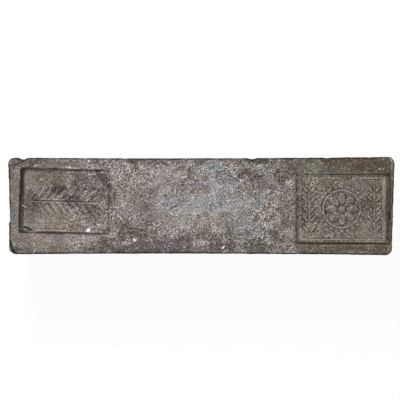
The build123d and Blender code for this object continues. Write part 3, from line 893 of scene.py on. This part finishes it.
gathered = add(tin_tree, "MapRange", (lumps["crystal_places"], 0.42, 0.58))
crystal, crystal_luck = crystals(CRYSTAL, gathered, coarse_share, 0.52, 0.40)
gathered = add(tin_tree, "MapRange", (lumps["spark_places"], 0.46, 0.58, 0, 0.6))
spark, spark_luck = crystals(SPARK, gathered, fine_share, 0.62, 0.46)
print("nodes so far:", len(tin_tree.nodes))

# %% [markdown]
# ## Films on the tin
#
# The colour is built as the metal got it. Grains and crystals come first, over the plain patina.
# Then thin stains tint all of it, as a film of oxide does, and dirt fills what is low. The walls of
# the marks, the groove at their foot and the rim also carry painted shade. Burrs, most of them
# painted highlights, and fresh knocks come last. Each film is a paint, the pattern that it
# follows, the value where it starts, the value where it is full, and how much of it there is at
# most.

# %% Colour, film by film
grain_films = [
    (RUBBED_TIN, kept["rubbed"], 0, 1, 0.9),
    (PALE_OXIDE, kept["pale"], 0, 1, 0.9),
    (BRIGHT_GRAIN, lumps["speckle"], 0.52, 0.62, fine_share),
    (GRIME, lumps["speckle"], 0.48, 0.38, fine_share),
    (BRIGHT_GRAIN, lumps["grit"], 0.66, 0.71, coarse_share),
    (GRIME, lumps["grit"], 0.34, 0.29, coarse_share),
    (BRIGHT_GRAIN, crystal_luck, 0.78, 0.82, crystal),
    (GRIME, crystal_luck, 0.24, 0.20, crystal),
    (BARE_TIN_AND_HIGHLIGHT, crystal_luck, 0.92, 0.94, crystal),
    (BLACK_DIRT_AND_SHADE, crystal_luck, 0.09, 0.07, crystal),
    (BRIGHT_GRAIN, ridge, 0.04, 0.01, shred_places),
    # The brightest of the smallest crystals are painted glints, and the darkest are crystals that have
    # fallen out.
    (BARE_TIN_AND_HIGHLIGHT, spark_luck, 0.90, 0.92, spark),
    (BLACK_DIRT_AND_SHADE, spark_luck, 0.07, 0.05, spark),
    (BRIGHT_GRAIN, kept["near_hollow"], -0.03, -0.22, 0.45),
    (GRIME, kept["near_hollow"], 0.03, 0.22, 0.6),
    (BRIGHT_GRAIN, kept["carved"], -0.05, -0.30, 0.2),
    (GRIME, kept["carved"], 0.04, 0.25, 0.4),
]
stain_films = [(tint, kept[name], 0, 1, 1.0) for name, tint in TINTS.items()]
stain_films.append((TINTS["plum"], lumps["mottle"], 0.50, 0.68, 0.45))
dirt_films = [
    (GRIME, kept["wide_hollow"], 0.15, 0.9, 0.15),
    # painted shade as well as dirt on the walls, their upper part and the grooves of the marks
    (BROWN_DIRT_AND_SHADE, kept["wall_dirt_and_shade"], 0, 1, 0.75),
    (BLACK_DIRT_AND_SHADE, kept["wall_top_dirt_and_shade"], 0, 0.6, 0.7),
    (BROWN_DIRT_AND_SHADE, kept["groove_dirt_and_shade"], 0, 1, 0.9),
    (GRIME, lap, 0, 1, 0.42),
    # painted shadows among the dark lines, and painted shade alone on the rim
    (BLACK_DIRT_AND_SHADE, kept["grooves_and_shadows"], 0, 1, 0.9),
    (BLACK_DIRT_AND_SHADE, kept["rim"], 0, 1, 0.95),
    # painted highlights among the burrs and the knocks
    (DUSTY_EDGE_AND_HIGHLIGHT, kept["burrs_and_highlights"], 0, 1, 1.0),
    (BARE_TIN_AND_HIGHLIGHT, kept["nicks_and_highlights"], 0.05, 0.8, 1.0),
]

colour = linear(PATINA)
for blend, films in (("MIX", grain_films), ("MULTIPLY", stain_films), ("MIX", dirt_films)):
    for paint, follows, start, full, most in films:
        share = add(tin_tree, "MapRange", (follows, start, full, 0, most))
        laid = {0: share, 6: colour, 7: linear(paint)}
        colour = add(tin_tree, "Mix", laid, data_type="RGBA", blend_type=blend).outputs[2]
print("films on the tin:", len(grain_films) + len(stain_films) + len(dirt_films))

# %% Sheen and fine bumps
METALLIC = 0.35  # the rest is oxide and grime
DIRTY, WORN = 0.74, 0.54  # roughness between grains and on them
POLISH = 0.14  # how much smoother the rubbed places and the sides are
GRAIN_HEIGHT = 0.35 * MM  # of the grains that are too fine for the mesh
LAP_DEPTH = 0.6  # of that height

shader = tin_tree.nodes["Principled BSDF"]
shader.inputs["Metallic"].default_value = METALLIC
shader.inputs["Specular IOR Level"].default_value = 0.15  # grime hardly shines
tin_tree.links.new(colour, shader.inputs["Base Color"])

matt = add(tin_tree, "MapRange", (lumps["speckle"], 0.40, 0.60, DIRTY, WORN))
polished = add(tin_tree, "Math", (kept["rubbed"], kept["sideways"]), operation="MAXIMUM")
roughness = add(tin_tree, "Math", (polished, -POLISH, matt), operation="MULTIPLY_ADD")
tin_tree.links.new(roughness.outputs[0], shader.inputs["Roughness"])

grains = add(tin_tree, "Math", (lumps["speckle"], lumps["grit"]), operation="ADD")
grains = add(tin_tree, "Math", (grains, fine_share), operation="MULTIPLY")
height = add(tin_tree, "Math", (lap, -LAP_DEPTH, grains), operation="MULTIPLY_ADD")
bump = add(tin_tree, "Bump", {"Height": height, "Strength": 0.9, "Distance": GRAIN_HEIGHT})
tin_tree.links.new(bump.outputs["Normal"], shader.inputs["Normal"])

ingot_mesh.materials.append(tin)
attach(ingot, "root")
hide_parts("ingot")

# %% [markdown]
# ## Floor, light and camera
#
# The studio is a pale floor under an even white sky, with one large soft lamp beyond the back edge
# for the relief and a weaker one in front. The camera hangs straight above the middle of the
# poured face, with a long lens, so that no side shows. What the camera sees of the sky and the
# floor is white, while the light that they give stays low: Light Path tells the two apart.

# %% Sky
def seen(tree):
    """1 for what the camera sees, directly, in a reflection or through glass."""
    path = add(tree, "LightPath").outputs
    direct = add(tree, "Math", (path["Is Camera Ray"], path["Is Glossy Ray"]), operation="MAXIMUM")
    return add(tree, "Math", (direct, path["Is Transmission Ray"]), operation="MAXIMUM")


SKY_LEVEL = 0.38  # light that the sky gives the ingot

world = bpy.data.worlds.new("studio")
world.use_nodes = True
bpy.context.scene.world = world
sky = world.node_tree
level = add(sky, "Math", (seen(sky), 1 - SKY_LEVEL, SKY_LEVEL), operation="MULTIPLY_ADD")
sky.links.new(level.outputs[0], sky.nodes["Background"].inputs["Strength"])
sky.nodes["Background"].inputs["Color"].default_value = (1, 1, 1, 1)
print("sky nodes:", len(sky.nodes))

# %% Floor
PAPER_SHARE = 0.93  # of plain white in the floor that is seen, and the rest shows the shadow
FLOOR_GAP = 0.05 * MM  # a hair below the base, so that the two never share a plane

floor_form = bmesh.new()
bmesh.ops.create_grid(floor_form, x_segments=1, y_segments=1, size=20)
bmesh.ops.translate(floor_form, vec=(0, 0, -FLOOR_GAP), verts=floor_form.verts)
floor_mesh = bpy.data.meshes.new("floor")
floor_form.to_mesh(floor_mesh)
floor_form.free()
floor = bpy.data.objects.new("floor", floor_mesh)
bpy.context.scene.collection.objects.link(floor)

paper = bpy.data.materials.new("white_paper")
paper.use_nodes = True
paper_tree = paper.node_tree
paper_tree.nodes.clear()
white = add(paper_tree, "Emission", {"Color": (1, 1, 1, 1), "Strength": 1.02})
shaded = add(paper_tree, "BsdfDiffuse", {"Color": linear("#e6e6e6")})
plain = add(paper_tree, "Math", (seen(paper_tree), PAPER_SHARE), operation="MULTIPLY")
mixed = add(paper_tree, "MixShader", (plain, shaded, white))
add(paper_tree, "OutputMaterial", {"Surface": mixed})
floor_mesh.materials.append(paper)
print("floor, in metres:", floor.dimensions[:])

# %% Lamps
def soft_lamp(name, place, size, watts):
    """A square soft box that faces the middle of the ingot."""
    lamp = bpy.data.lights.new(name, "AREA")
    lamp.shape = "SQUARE"
    lamp.size = size
    lamp.energy = watts
    box = bpy.data.objects.new(name, lamp)
    box.location = place
    box.rotation_euler = (-Vector(place)).to_track_quat("-Z", "Y").to_euler()
    bpy.context.scene.collection.objects.link(box)


soft_lamp("key_lamp", (-0.45, 1.15, 1.05), 0.45, 23)
soft_lamp("fill_lamp", (0.6, -1.3, 1.1), 1.0, 3)
print("lamps:", len(bpy.data.lights))

# %% Camera
CAMERA_HEIGHT = 1.6  # metres above the poured face

metres_per_pixel = pixel * MM
lens = bpy.data.cameras.new("camera")
lens.sensor_width = 36
lens.lens = lens.sensor_width * CAMERA_HEIGHT / (PHOTO_SIZE * metres_per_pixel)
camera = bpy.data.objects.new("camera", lens)
bpy.context.scene.collection.objects.link(camera)
camera.location = (
    (PHOTO_SIZE / 2 - MIDDLE_PIXEL[0]) * metres_per_pixel,
    (MIDDLE_PIXEL[1] - PHOTO_SIZE / 2) * metres_per_pixel,
    cad_high.z + CAMERA_HEIGHT,
)
bpy.context.scene.camera = camera
bpy.context.scene.view_settings.view_transform = "Standard"
print("lens, in mm:", round(lens.lens, 1))
